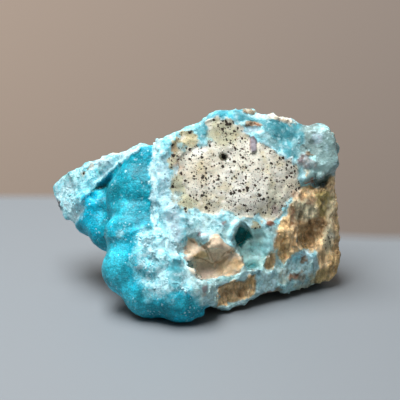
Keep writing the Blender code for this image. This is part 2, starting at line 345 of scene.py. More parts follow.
# Each patch of paint covers the ones before it: its mark, its finish and its paint, how soft
# its edge is in pixels, how strong it is, and how ragged its edge is
Patch = namedtuple("Patch", "mark finish paint edge strength ragged", defaults=(1.0, 1.0))
PATCHES = [Patch(*row) for row in (
    # The crust's blue, from the wing's lobe to the foot
    (BLUE, "crust", "azure", 2.5, 1.0, 0.7),
    (Spot(134, 194, 27, 36, 20), "crust", "deep", 26, 0.75),
    (Spot(142, 170, 11, 18, 15), "crust", "deep", 10, 0.5),
    (Spot(88, 206, 12, 15), "crust", "bright", 10, 0.7),
    (Spot(128, 176, 17, 11, -50), "crust", "deep", 14, 0.5),
    (Spot(150, 200, 4, 26), "crust", "deep", 5, 0.8),
    (Spot(151, 226, 5, 8), "crust", "sea", 4, 0.7),
    # Painted shade along the crease between the left lobe and the main lobe
    (Spot(103, 216, 3, 26), "crust", "deep", 5, 0.8),
    (Spot(106, 238, 5, 9), "crust", "sea", 5, 0.6),
    (Spot(122, 214, 12, 18), "crust", "aqua", 12, 0.35),
    (Spot(121, 237, 5, 7), "crust", "aqua", 6, 0.6),
    (Spot(114, 275, 16, 32), "crust", "aqua", 16, 0.65),
    (Spot(135, 304, 20, 14), "crust", "aqua", 12, 0.75),
    (Spot(180, 308, 30, 10), "crust", "deep", 10, 0.6),
    (Spot(158, 312, 14, 5), "crust", "sea", 7, 0.4),
    (Spot(165, 298, 10, 4), "crust", "azure", 5, 0.8),
    (Spot(112, 262, 7, 22), "crust", "aqua", 10, 0.3),
    # Painted shade in the cleft between the wing and the main lobe, near black at its corner
    (Spot(111, 190, 9, 7), "crust", "sea", 8, 0.6),
    (Stroke(5.0, *CREVICE), "crust", "crevice", 5, 0.95, 0.5),
    (Spot(99, 187.5, 4, 1.5, -15), "crust", "coal", 2.5, 0.7, 0.4),
    # The wing's broken crust
    (Spot(75, 176, 12, 4, -12), "ice", "mint", 4, 0.8),
    (Spot(66, 192, 13, 6, -50), "ice", "frost", 6, 0.9),
    (Spot(92, 175, 9, 5, -35), "ice", "aqua", 6, 0.7),
    (Spot(102, 160, 10, 7, -30), "ice", "lilac", 6, 0.9),
    (Spot(103, 168, 10, 3.5, -40), "ice", "mint", 4, 0.6),
    (Spot(110, 165, 3, 6, 60), "ice", "frost", 3, 0.8),
    (Spot(114, 157, 3, 3), "ice", "glass", 3, 0.6),
    (Spot(124, 154, 5, 3, -20), "ice", "lilac", 3, 0.7),
    (Stroke(4, (117, 162), (128, 154), (139, 149)), "ice", "frost", 3, 0.9),
    (Spot(74, 208, 9, 12, -30), "ice", "frost", 5, 0.8),
    (Spot(79, 203, 5, 9, -30), "ice", "aqua", 5, 0.6),
    (Spot(73, 218, 6, 5), "ice", "frost", 4, 0.8),
    (Spot(83, 173, 3, 2.5), "matrix", "sand", 2, 0.9),
    (Spot(89, 166, 1.5, 4, 30), "clay", "orange", 2, 0.7),
    (Spot(116, 151, 4, 1.5), "clay", "ochre", 2, 0.8),
    (Spot(58, 205, 2.5, 8, -38), "clay", "plum", 2, 0.95),
    # The band of pale crust beside the corner
    (Spot(166, 140, 12, 8, -20), "ice", "aqua", 6, 0.6),
    (Spot(164, 182, 7, 26), "ice", "lilac", 7, 0.6),
    (Spot(163, 215, 6, 16), "ice", "mist", 6, 0.6),
    (Spot(165, 227, 4, 5), "glassy", "glass", 4, 0.8),
    (Spot(174, 222, 7, 26), "ice", "lilac", 7, 0.8),
    (Stroke(6, *LIP), "ice", "frost", 3, 0.95),
    # The white crystals below the corner
    (Spot(148, 246, 12, 17), "ice", "mist", 6, 0.8),
    (Spot(155, 252, 7, 9), "ice", "frost", 5, 0.5),
    (Spot(167, 243, 7, 7), "ice", "frost", 4, 0.7),
    (Spot(181, 249, 7, 5), "ice", "frost", 4, 0.9),
    (Spot(147, 268, 8, 10), "ice", "aqua", 6, 0.6),
    (Spot(162, 286, 7, 11), "ice", "frost", 6, 0.6),
    (Spot(176, 264, 8, 7), "glassy", "aqua", 4, 0.7),
    (Spot(176, 279, 8, 11), "glassy", "glass", 4, 0.7),
    (Spot(178, 274, 5, 1.6), "ice", "frost", 2, 0.9),
    (Spot(190, 272, 5, 18, 10), "ice", "frost", 5, 0.8),
    (Spot(203, 300, 9, 7), "glassy", "glass", 5, 0.6),
    (Stroke(9, (138, 240), (139, 262), (146, 286), (160, 297), (186, 292)), "ice", "aqua", 9, 0.5, 1.8),
    (Stroke(5, (135, 250), (137, 272), (148, 294), (172, 301)), "crust", "ice", 5, 0.5, 2.0),
    (Spot(182, 303, 16, 4), "crust", "aqua", 6, 0.5, 1.6),
    (Spot(118, 236, 5, 5), "ice", "frost", 5, 0.4, 1.6),
    # The pale matrix and its border
    (TOP_BLUE, "glassy", "glass", 2.5),
    (BORDER, "matrix", "sage", 3, 1.0, 1.8),
    (Spot(189, 160, 4, 5), "ice", "haze", 4, 0.7, 1.6),
    (Spot(178, 200, 5, 8), "ice", "haze", 4, 0.6, 1.8),
    (Spot(188, 182, 4, 9), "matrix", "straw", 4, 0.7, 1.6),
    (MATRIX, "matrix", "cream", 2.5, 1.0, 1.3),
    (Spot(222, 133, 17, 12), "matrix", "olive", 6, 0.8),
    (Spot(184, 139, 8, 6), "matrix", "straw", 4, 0.6, 1.5),
    (Spot(174, 150, 5, 6), "matrix", "orange", 4, 0.6, 1.5),
    (Spot(181, 148, 4, 5), "ice", "mist", 4, 0.6, 1.8),
    (Stroke(3, (176, 160), (181, 168), (184, 176)), "matrix", "orange", 3, 0.5, 1.5),
    (Spot(199, 150, 12, 5, -15), "matrix", "chalk", 5, 0.9),
    (Spot(202, 172, 17, 14), "matrix", "sand", 12, 0.6),
    (Spot(240, 190, 26, 20), "matrix", "chalk", 20, 0.5),
    (Spot(212, 203, 15, 7), "matrix", "straw", 8, 0.5),
    (Spot(173, 181, 4, 2.5), "matrix", "olive", 3, 0.8),
    (Spot(186, 203, 5, 7), "matrix", "olive", 5, 0.7),
    (Spot(176, 170, 3, 6), "ice", "lilac", 3, 0.7),
    (Spot(275, 197, 8, 12), "matrix", "sage", 8, 0.5),
    (Spot(292, 185, 8, 7), "matrix", "sand", 5, 0.5),
    (Spot(275, 208, 4, 4), "matrix", "plum", 3, 0.6),
    # The hole, painted near black as the shade inside it
    (HOLE, "matrix", "coal", 1.0, 1.0, 0.1),
    # The glassy blue above it, with its chips
    (Spot(225, 115, 20, 4), "glassy", "azure", 4, 0.35),
    (Spot(256, 116, 9, 2), "ice", "frost", 3, 0.8),
    (Spot(286, 133, 16, 9, 15), "glassy", "sea", 8, 0.4),
    (Spot(268, 138, 9, 4, 35), "ice", "haze", 5, 0.6),
    (Spot(297, 148, 3, 9), "ice", "haze", 4, 0.6),
    (Stroke(2.5, (262, 141), (275, 149), (288, 161), (296, 163)), "ice", "frost", 2, 0.6),
    (Spot(251, 131, 10, 3), "glassy", "lilac", 2, 0.8),
    (BROWN_PATCH, "clay", "umber", 2, 0.95),
    (Spot(256, 126, 4, 2), "clay", "rust", 2, 0.7),
    (BROWN_CAP, "clay", "umber", 2, 0.9, 0.9),
    (TAN_CAP, "clay", "tan", 2.5, 0.8, 1.2),
    (CHIP, "dull", "ash", 0.8, 1.0, 0.1),
    # Painted shade down the chip's left side
    (Stroke(1.6, (250.5, 139), (250.5, 150)), "dull", "plum", 1.0, 0.8, 0.1),
    # The knob
    (KNOB, "glassy", "haze", 3),
    (Spot(322, 140, 12, 8, 30), "glassy", "slate", 6, 0.5),
    (Spot(328, 158, 9, 12), "glassy", "slate", 7, 0.6),
    (Spot(313, 170, 10, 6), "glassy", "slate", 5, 0.8),
    (Spot(308, 150, 7, 5), "glassy", "slate", 4, 0.6),
    (Spot(317, 138, 5, 4), "ice", "lilac", 3, 0.8),
    (Spot(327, 127, 9, 3), "ice", "mint", 3, 0.9),
    (Stroke(4, (336, 133), (341, 147), (340, 162)), "ice", "mint", 3, 0.6),
    (Spot(308, 162, 8, 7), "clay", "ash", 5, 0.6, 1.4),
    (Spot(312, 155.5, 4, 2.2), "dull", "umber", 1.5, 0.8, 1.5),
    (Spot(315, 159, 2.5, 3), "ice", "mint", 2, 0.8),
    (Spot(302, 160, 4, 5), "clay", "plum", 3, 0.6),
    (Spot(306, 174, 3, 3), "clay", "clay", 3, 0.6),
    (Spot(302, 176, 4, 8), "ice", "ice", 3, 0.6),
    # The pale crust round the vug and along the foot
    (LOWER_CRUST, "ice", "pale", 9, 0.9, 1.5),
    (Spot(192, 222, 11, 9), "ice", "glass", 6, 0.6),
    (Spot(222, 222, 9, 7), "ice", "mist", 5, 0.7),
    (Spot(222, 226, 5, 4), "ice", "slate", 4, 0.5),
    (Spot(214, 228, 8, 5), "ice", "glass", 5, 0.7),
    (Spot(201, 236, 8, 6), "ice", "frost", 5, 0.8),
    (Spot(224, 223, 2.5, 2), "clay", "plum", 2, 0.9, 0.4),
    (Spot(199.5, 235, 1.8, 2), "clay", "plum", 1.5, 0.9, 0.4),
    (Spot(256, 248, 19, 19), "glassy", "vug", 6, 0.95),
    (Spot(256, 250, 9, 9), "glassy", "ice", 8, 0.35),
    (Spot(268, 246, 6, 12), "glassy", "ice", 6, 0.5),
    (Stroke(5.0, *VUG_RIM), "ice", "ice", 2.5, 0.9, 0.4),
    # Painted shade in the vug's hole and in the slit below it
    (VUG_DARK, "crust", "abyss", 1.6, 0.97, 0.2),
    (Spot(252, 266, 7, 3), "crust", "abyss", 3, 0.8, 0.5),
    (Spot(270, 223, 5, 3), "dull", "rust", 1.5, 0.95, 0.5),
    (Spot(256, 225, 6, 4), "matrix", "straw", 3, 0.8),
    (Spot(275, 275, 18, 12), "ice", "slate", 7, 0.5),
    (Spot(285, 275, 9, 8), "clay", "sage", 5, 0.5, 1.6),
    (Spot(290, 290, 14, 5), "ice", "mint", 5, 0.6),
    (Spot(293, 268, 9, 9), "ice", "slate", 6, 0.5),
    (Spot(310, 268, 8, 8), "ice", "slate", 5, 0.6),
    (Spot(230, 278, 14, 3, -8), "ice", "mint", 3, 0.8),
    # Hollows and patches of clay
    (POCKET, "dull", "tan", 2, 1.0, 0.6),
    (POCKET_FLOOR, "dull", "putty", 1.2, 1.0, 0.25),
    (Spot(226, 267, 9, 9), "dull", "clay", 4, 0.6),
    (FLAP, "dull", "tan", 1.2, 1.0, 0.2),
    (LEDGE, "dull", "tan", 1.2, 1.0, 0.2),
    # The umber strokes along the floor's right rim and upper edge, and along the edges of the flap and
    # the ledge, are painted shadow lines under the overhangs
    (Stroke(2.2, (242, 256), (243, 264), (240, 272), (232, 276)), "dull", "umber", 2, 0.8, 0.3),
    (Stroke(1.6, (207, 244), (209, 252), (213, 260)), "dull", "umber", 1.5, 0.6, 0.2),
    (Spot(236, 264, 6, 8), "dull", "clay", 4, 0.9),
    (Spot(200, 256, 7, 4), "dull", "ochre", 3, 0.7),
    (Stroke(1.6, (196, 258), (205, 261), (212, 264), (217, 262)), "dull", "umber", 1.5, 0.7, 0.4),
    (Stroke(1.6, (221, 257), (226, 253), (234, 251)), "dull", "umber", 1.5, 0.7, 0.4),
    (Spot(187, 259, 2.5, 3), "dull", "rust", 2, 0.7),
    (Spot(183, 248, 5, 3, 30), "clay", "umber", 3, 0.6, 1.5),
    (Spot(204, 273, 8, 6), "dull", "plum", 5, 0.3),
    (Stroke(1.4, (200, 244), (206, 250), (209, 259)), "dull", "umber", 1.5, 0.7, 0.2),
    (Stroke(1.4, (226, 266), (232, 262), (240, 261)), "dull", "umber", 2.0, 0.5, 0.4),
    (Stroke(1.4, (212, 279), (214, 270), (219, 262)), "dull", "umber", 2.0, 0.5, 0.4),
    (Spot(180, 249, 5, 4), "ice", "frost", 3, 0.9),
    (Stroke(6.0, *POCKET_WALL), "dull", "putty", 2, 0.9, 0.3),
    (FOOT_CLAY, "clay", "clay", 1.8, 1.0, 0.6),
    (Stroke(1.6, (217, 288), (223, 286), (232, 282), (246, 281)), "clay", "umber", 1.5, 0.8, 0.4),
    (Spot(225, 295, 6, 6), "clay", "umber", 4, 0.5),
    (Spot(240, 291, 7, 5), "clay", "umber", 4, 0.5),
    (Spot(252, 281, 4, 5), "clay", "ochre", 3, 0.7),
    (CLAY_SLOT, "clay", "clay", 2, 0.95, 0.5),
    (Spot(204, 289, 4, 3), "dull", "plum", 2, 0.8, 0.6),
    (Spot(204, 294, 3, 3), "dull", "orange", 3, 0.5),
    (Spot(267, 293, 8, 2.5), "dull", "rust", 2, 0.8),
    (Spot(279, 291, 4, 4), "dull", "umber", 2, 0.8),
    # The clay side
    (CLAY_SIDE, "clay", "clay", 4),
    (Spot(302, 210, 13, 13), "clay", "sage", 7, 0.75),
    (Spot(323, 203, 8, 14), "clay", "moss", 5, 0.85),
    (Spot(331, 215, 4, 26), "clay", "sage", 4, 0.5),
    (Spot(317, 225, 11, 9, -20), "clay", "umber", 5, 0.85),
    (Spot(302, 226, 5, 8), "clay", "umber", 5, 0.7),
    (Spot(306, 242, 9, 9), "clay", "umber", 6, 0.6),
    (Spot(306, 243, 5, 5), "clay", "ochre", 5, 0.5),
    (Stroke(3.5, (293, 208), (296, 224), (293, 248)), "clay", "umber", 3, 0.7),
    (Spot(284, 236, 6, 18, 6), "clay", "ochre", 5, 0.5),
    (Spot(281, 252, 5, 7), "clay", "ochre", 4, 0.8),
    (Spot(292, 218, 3, 8), "clay", "rust", 3, 0.7),
    (Spot(298, 194, 5, 5), "clay", "orange", 4, 0.6),
    (Spot(310, 201, 3, 4), "clay", "rust", 3, 0.6),
    (Spot(329, 240, 6, 15), "matrix", "sage", 5, 0.7),
    (Spot(334, 262, 8, 14), "clay", "ochre", 6, 0.6),
    (Spot(338, 250, 5, 8), "clay", "umber", 5, 0.5),
    (Spot(322, 262, 4, 12), "clay", "clay", 5, 0.7),
    (Spot(307, 256, 8, 6), "ice", "lilac", 4, 0.6),
    (Spot(303, 260, 3.5, 5), "clay", "umber", 2, 0.9),
    (Spot(299, 276, 6, 5), "clay", "umber", 4, 0.7, 1.4),
    (Spot(296, 275, 4, 3), "clay", "rust", 3, 0.7),
    (Spot(318, 278, 13, 7, -25), "clay", "moss", 5, 0.6),
    (Spot(303, 288, 8, 5), "clay", "sage", 4, 0.6),
    (Spot(311, 183, 3.5, 2), "clay", "rust", 1.5, 0.95),
    # Painted shadow in the notch under the knob's overhang
    (Spot(322, 183, 5, 3, -30), "clay", "coal", 3, 0.9),
)]

# Relief on the stone, in millimetres: what goes up or down, by how much, and over how
# many pixels
RELIEFS = [
    (Stroke(2.5, *LIP), 1.1, 2.5),
    (Stroke(3.0, *WING_LIP), 0.7, 3.0),
    (MATRIX, -0.5, 2.5),
    (HOLE, -3.0, 1.6),
    (Stroke(5.0, *CREVICE), -1.1, 4.0),
    (Spot(149, 250, 15, 16), -2.4, 13.0),
    (Stroke(7.0, (136, 232), (148, 228), (160, 230)), 0.9, 6.0),
    (Spot(203, 239, 7, 5), 1.1, 4.0),
    (Spot(257, 250, 13, 13), 1.2, 8.0),
    (Stroke(6.0, (134, 236), (134, 250), (138, 264)), 0.8, 6.0),
    (Spot(314, 179, 13, 6), 1.8, 6.0),
    (Spot(122, 235, 14, 5), 0.8, 8.0),
    (Stroke(5.0, *VUG_RIM), 1.6, 4.0),
    (VUG_DARK, -2.8, 2.0),
    (Spot(252, 266, 6, 4), -1.6, 3.0),
    (POCKET, -0.5, 2.0),
    (Stroke(7.0, *POCKET_WALL), 1.6, 5.0),
    (POCKET_FLOOR, -1.0, 1.2),
    (FLAP, 0.9, 1.2),
    (LEDGE, 0.7, 1.2),
    (Stroke(2.0, (226, 258), (222, 266), (221, 275)), 0.5, 2.0),
    (Spot(132, 208, 16, 5), 1.0, 8.0),
    (CLAY_SLOT, -1.4, 2.5),
    (FOOT_CLAY, -0.8, 2.0),
    (BROWN_PATCH, 0.6, 2.0),
    (CHIP, 0.9, 0.9),
    (Spot(284, 238, 6, 20, 6), 0.9, 4.0),
    (Spot(306, 240, 9, 9), -1.2, 5.0),
    (Spot(176, 264, 7, 6), 0.5, 4.0),
    (Spot(176, 279, 7, 10), 0.6, 4.0),
    (BROWN_CAP, 0.5, 3.0),
    (TAN_CAP, 0.5, 3.0),
]


def linear(paint):
    """A paint's colour as light, from the values that a screen shows."""
    shown = np.array(PAINTS[paint])
    return np.where(shown <= 0.04045, shown / 12.92, ((shown + 0.055) / 1.055) ** 2.4)


# Settings that a user would change


class CrustSettings(bpy.types.PropertyGroup):
    grain: FloatProperty(
        name="Grain",
        description="Size of the crystals that cover the blue crust",
        default=0.55 * MM,
        min=0.2 * MM,
        max=2.0 * MM,
        unit="LENGTH",
    )
    crystals: IntProperty(
        name="Crystals",
        description="How many crystals stand out of the blue crust",
        default=2600,
        min=0,
        max=8000,
    )
    blades: IntProperty(
        name="White blades",
        description="How many larger crystals lie in the white patch and along the lips",
        default=170,
        min=0,
        max=3000,
    )
    gloss: FloatProperty(
        name="Roughness",
        description="Roughness of the crust between its crystals",
        default=0.46,
        min=0.0,
        max=1.0,
        subtype="FACTOR",
    )


class MatrixSettings(bpy.types.PropertyGroup):
    speck_gap: FloatProperty(
        name="Speck spacing",
        description="How far apart the dark specks of the pale matrix lie",
        default=1.3 * MM,
        min=0.8 * MM,
        max=5.0 * MM,
        unit="LENGTH",
    )
    speck_colour: FloatVectorProperty(
        name="Speck colour",
        description="Colour of the dark specks",
        subtype="COLOR",
        size=3,
        default=(0.045, 0.034, 0.025),
        min=0.0,
        max=1.0,
    )
    crumbs: IntProperty(
        name="Crumbs",
        description="How many crumbs of clay and crust stick to the broken sides",
        default=600,
        min=0,
        max=5000,
    )


class StageSettings(bpy.types.PropertyGroup):
    table_colour: FloatVectorProperty(
        name="Table",
        description="Colour of the table top",
        subtype="COLOR",
        size=3,
        default=(0.205, 0.230, 0.252),
        min=0.0,
        max=1.0,
    )
    wall_colour: FloatVectorProperty(
        name="Wall",
        description="Colour in which the lit wall behind shows",
        subtype="COLOR",
        size=3,
        default=(0.435, 0.340, 0.272),
        min=0.0,
        max=1.0,
    )
    key_power: FloatProperty(
        name="Soft light",
        description="Power of the large light overhead",
        default=6.8,
        min=0.0,
        max=100.0,
        unit="POWER",
    )


# Making the stone


def only(obj):
    """Selects this object and nothing else."""
    bpy.ops.object.select_all(action="DESELECT")
    obj.select_set(True)
    bpy.context.view_layer.objects.active = obj


def apply_modifiers(obj):
    """Applies all of an object's modifiers, in their order."""
    only(obj)
    for modifier in list(obj.modifiers):
        bpy.ops.object.modifier_apply(modifier=modifier.name)


def vectors(items, name):
    """A numpy table of one vector for each item of a mesh."""
    table = np.empty(3 * len(items))
    items.foreach_get(name, table)
    return table.reshape(-1, 3)


def put_vertices(mesh, places):
    """Moves the vertices of a mesh to these places."""
    mesh.vertices.foreach_set("co", places.ravel())
    mesh.update()


def store(mesh, name, values):
    """Keeps one number or colour for each vertex, for the materials to read."""
    if values.ndim == 1:
        layer = mesh.attributes.new(name, "FLOAT", "POINT")
        layer.data.foreach_set("value", values)
    else:
        layer = mesh.attributes.new(name, "FLOAT_COLOR", "POINT")
        layer.data.foreach_set("color", np.column_stack((values, np.ones(len(values)))).ravel())


def fetch(mesh, name):
    """The numbers or colours that store keeps."""
    layer = mesh.attributes[name]
    if layer.data_type == "FLOAT":
        values = np.empty(len(layer.data))
        layer.data.foreach_get("value", values)
        return values
    values = np.empty(4 * len(layer.data))
    layer.data.foreach_get("color", values)
    return values.reshape(-1, 4)[:, :3]


def rough(places, size, octaves=1):
    """Smooth noise from -1 to 1, with lumps of this size in millimetres."""
    scaled = (places / (size * MM)).tolist()
    if octaves == 1:
        return np.array([noise.noise(place) for place in scaled])
    return np.array([noise.fractal(place, OCTAVE_FALL, OCTAVE_STEP, octaves) for place in scaled])


def stirred(places, size):
    """Noise vectors with lumps of this size in millimetres."""
    noise.seed_set(STIR_SEED)
    scaled = (places / (size * MM)).tolist()
    return np.array([noise.noise_vector(place)[:] for place in scaled])


def grains(places, size):
    """The four nearest grains of each place: how far off, in grain sizes, where, and their chances."""
    found = [noise.voronoi(place) for place in (places / (size * MM)).tolist()]
    gaps = np.array([gap for gap, middles in found])
    middles = np.array([middle[:] for gap, nearest in found for middle in nearest])
    chances = np.array([noise.cell_vector(place)[:] for place in (middles * CELL_SPREAD).tolist()])
    return gaps, middles.reshape(-1, 4, 3), chances.reshape(-1, 4, 3)


def chipped(places, size):
    """How deep the chips of one size go, as a share, and three chances of the nearest one."""
    gaps, middles, chances = grains(places, size)
    away = (places / (size * MM))[:, None, :] - middles
    leaning = CHIP_LEAN * (away * (chances - 0.5)).sum(axis=2)
    depths = 0.3 + 0.5 * chances[:, :, 0] - 0.6 * gaps * gaps + leaning
    return depths.max(axis=1), chances[:, 0, :]


def toward(colours, paint, share):
    """Moves colours towards a paint by a share of the way each."""
    return colours + (linear(paint) - colours) * share[:, None]


def all_of(finish, count=1):
    """The shares of the finishes at places that have only this one."""
    return np.tile(np.eye(len(FINISHES))[FINISHES.index(finish)], (count, 1))


def painted(places, normals):
    """The colour and the finishes of places on the stone, before their own unevenness."""
    spots = seen(places)
    wander = sum(
        stirred(places + shift, size)[:, :2] * pixels for shift, (size, pixels) in enumerate(WANDERS)
    )
    tint = np.tile(linear("ice"), (len(places), 1))
    shares = all_of("ice", len(places))
    for patch in PATCHES:
        near = reached(patch.mark, spots, WANDER_REACH + patch.edge)
        depth = patch.mark.inside(spots[near] + wander[near] * patch.ragged)
        share = eased(0.5 + depth / patch.edge)[:, None] * patch.strength
        tint[near] += (linear(patch.paint) - tint[near]) * share
        shares[near] += (all_of(patch.finish) - shares[near]) * share
    unseen_tint, unseen_shares = behind(places)
    blend = facing(normals)[:, None]
    tint = unseen_tint + (tint - unseen_tint) * blend
    shares = unseen_shares + (shares - unseen_shares) * blend
    # Painted shade: upward faces towards the back are darkened
    far_back = eased((places[:, 1] / MM - TOP_SHADE_FROM) / TOP_SHADE_OVER)
    painted_top_shade = far_back * eased(1.5 * normals[:, 2] - 0.2)
    return tint * (1.0 - TOP_SHADE_DARK * painted_top_shade)[:, None], shares


def behind(places):
    """The sides that the picture doesn't show: crust at the left, broken stone elsewhere."""
    right, back, up = (places / MM).T
    drift = rough(places, 14.0, 3)
    finer = rough(places + 0.5, 5.0, 3)
    tint = np.tile(linear("cream"), (len(places), 1))
    shares = all_of("matrix", len(places))
    layers = (
        ("clay", "tan", 1.5 * (drift - 0.05)),
        ("clay", "clay", (12.0 - up + 10.0 * drift) / 8.0),
        ("clay", "umber", 2.5 * (finer - 0.45)),
        ("clay", "ochre", (right - 40.0 + 8.0 * finer) / 8.0),
        ("matrix", "sage", 3.0 * (rough(places + 2.0, 9.0, 3) - 0.2)),
        ("ice", "ice", 3.0 * (rough(places + 3.0, 12.0, 3) - 0.25)),
        ("ice", "glass", 4.0 * (rough(places + 4.0, 8.0, 3) - 0.42)),
        ("ice", "ice", (up - 52.0 + 7.0 * drift) / 5.0),
        ("crust", "deep", (-15.0 - right - 0.9 * back + 6.0 * drift) / 4.0),
    )
    for finish, paint, amount in layers:
        share = eased(amount)
        tint = toward(tint, paint, share)
        shares += (all_of(finish) - shares) * share[:, None]
    return tint, shares


def mottled(places, tint, shares):
    """Each finish's own unevenness: grains of ice, clouds in the crust, streaks of clay."""
    first, second, third = chipped(places, 1.5)[1].T
    broad = chipped(places, 3.4)[1][:, 0]
    streaks = rough(places * UPRIGHT, 1.8, 3)
    shades = {
        "crust": 1.0 + 0.30 * rough(places, 3.6, 3) + 0.10 * (first - 0.5),
        "ice": (0.92 + 0.16 * first) * (0.90 + 0.20 * broad),
        "glassy": 1.0 + 0.22 * rough(places + 13.0, 4.0, 3),
        "matrix": 1.0 + 0.16 * rough(places, 3.0, 3),
        "clay": 1.0 + 0.55 * streaks + 0.3 * (first - 0.5),
        "dull": 1.0 + 0.12 * streaks + 0.16 * rough(places + 16.0, 2.4, 3),
    }
    mixed = 0.0
    for finish, share in zip(FINISHES, shares.T):
        colours = tint * shades[finish][:, None]
        for shift, paint, strength, size, contrast, cut in CLOUDS.get(finish, ()):
            cloud = eased(contrast * rough(places + shift, size, 3) - cut)
            colours = toward(colours, paint, strength * cloud)
        if finish == "ice":
            colours = toward(colours, "frost", 0.6 * eased((second - 0.72) / 0.06))
            colours = toward(colours, "glass", 0.45 * eased((third - 0.76) / 0.08))
        mixed = mixed + share[:, None] * colours
    return mixed


def relief(places, shares):
    """How far each place moves out of the solid's skin, in millimetres, by its finish."""
    crust, ice, glassy, matrix, clay, dull = shares.T
    caps = grains(places + stirred(places, 2.0) * 0.5 * MM, 3.4)[0][:, 0]
    beads = grains(places, 1.1)[0][:, 0]
    large, small = chipped(places, 4.2)[0], chipped(places, 1.4)[0]
    height = crust * (0.30 * (0.45 - caps * caps) + 0.14 * (0.45 - beads * beads))
    height += ice * (0.45 - 0.65 * large - 0.20 * small)
    height += glassy * (0.25 - 0.55 * large + 0.03 * rough(places, 1.0))
    height += matrix * (0.20 * rough(places, 2.6, 3) + 0.10 * rough(places, 0.9))
    height += clay * (0.65 * rough(places * UPRIGHT, 1.9, 3) + 0.35 - 0.55 * small)
    height += dull * (0.16 * rough(places, 1.6, 3) + 0.10 - 0.20 * small)
    return height


def marked(places, normals):
    """How far the named marks of the picture move each place out, in millimetres."""
    spots = seen(places) + stirred(places, 2.5)[:, :2] * 1.5
    height = np.zeros(len(places))
    for mark, amount, edge in RELIEFS:
        near = reached(mark, spots, edge)
        height[near] += amount * eased(0.5 + mark.inside(spots[near]) / edge)
    return height * facing(normals)


def fine_copy():
    """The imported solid's copy, merged and remeshed with small even faces."""
    stone = bpy.data.objects.new(STONE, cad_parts[NODE].data.copy())
    bpy.context.scene.collection.objects.link(stone)
    only(stone)
    bpy.ops.object.mode_set(mode="EDIT")
    bpy.ops.mesh.select_all(action="SELECT")
    bpy.ops.mesh.remove_doubles(threshold=MERGE)
    bpy.ops.object.mode_set(mode="OBJECT")
    remesh = stone.modifiers.new("Fine skin", "REMESH")
    remesh.mode = "VOXEL"
    remesh.voxel_size = FIRST_SKIN
    apply_modifiers(stone)
    return stone


def wear(stone):
    """Smooths the stone a little all over, and more on its lobes and its glassy pieces."""
    places = vectors(stone.data.vertices, "co")
    shares = painted(places, vectors(stone.data.vertices, "normal"))[1]
    for finish, rounds in WEAR:
        worn = stone.modifiers.new("Worn", "SMOOTH")
        worn.factor = 0.5
        worn.iterations = rounds
        if finish != ALL_OVER:
            group = stone.vertex_groups.new(name=finish)
            levels = np.ceil(shares[:, FINISHES.index(finish)] * WEAR_LEVELS)
            for level in range(1, WEAR_LEVELS + 1):
                group.add(np.flatnonzero(levels == level).tolist(), level / WEAR_LEVELS, "REPLACE")
            worn.vertex_group = finish
    apply_modifiers(stone)
    stone.vertex_groups.clear()


def break_surface(stone):
    """Gives the stone its relief, but leaves its foot flat on the table."""
    places = vectors(stone.data.vertices, "co")
    normals = vectors(stone.data.vertices, "normal")
    height = relief(places, painted(places, normals)[1]) + marked(places, normals)
    moved = places + normals * height[:, None] * MM
    on_foot = places[:, 2] < FOOT
    moved[on_foot] = places[on_foot]
    moved[:, 2] = np.maximum(moved[:, 2], 0.0)
    put_vertices(stone.data, moved)


def paint_stone(stone):
    """Keeps the stone's colours and finishes on its mesh."""
    places = vectors(stone.data.vertices, "co")
    tint, shares = painted(places, vectors(stone.data.vertices, "normal"))
    store(stone.data, "tint", mottled(places, tint, shares))
    for finish, share in zip(FINISHES, shares.T):
        store(stone.data, finish, np.ascontiguousarray(share))


def build_stone():
    """The stone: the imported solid, worn on its crust and broken elsewhere."""
    stone = fine_copy()
    wear(stone)
    break_surface(stone)
    thinner = stone.modifiers.new("Fewer faces", "DECIMATE")
    thinner.ratio = min(1.0, STONE_TRIANGLES / (2.0 * len(stone.data.polygons)))
    apply_modifiers(stone)
    stone.data.materials.clear()
    stone.data.materials.append(stone_material())
    paint_stone(stone)
    only(stone)
    bpy.ops.object.shade_smooth_by_angle(angle=SHARP_EDGE)
    return stone


# Materials


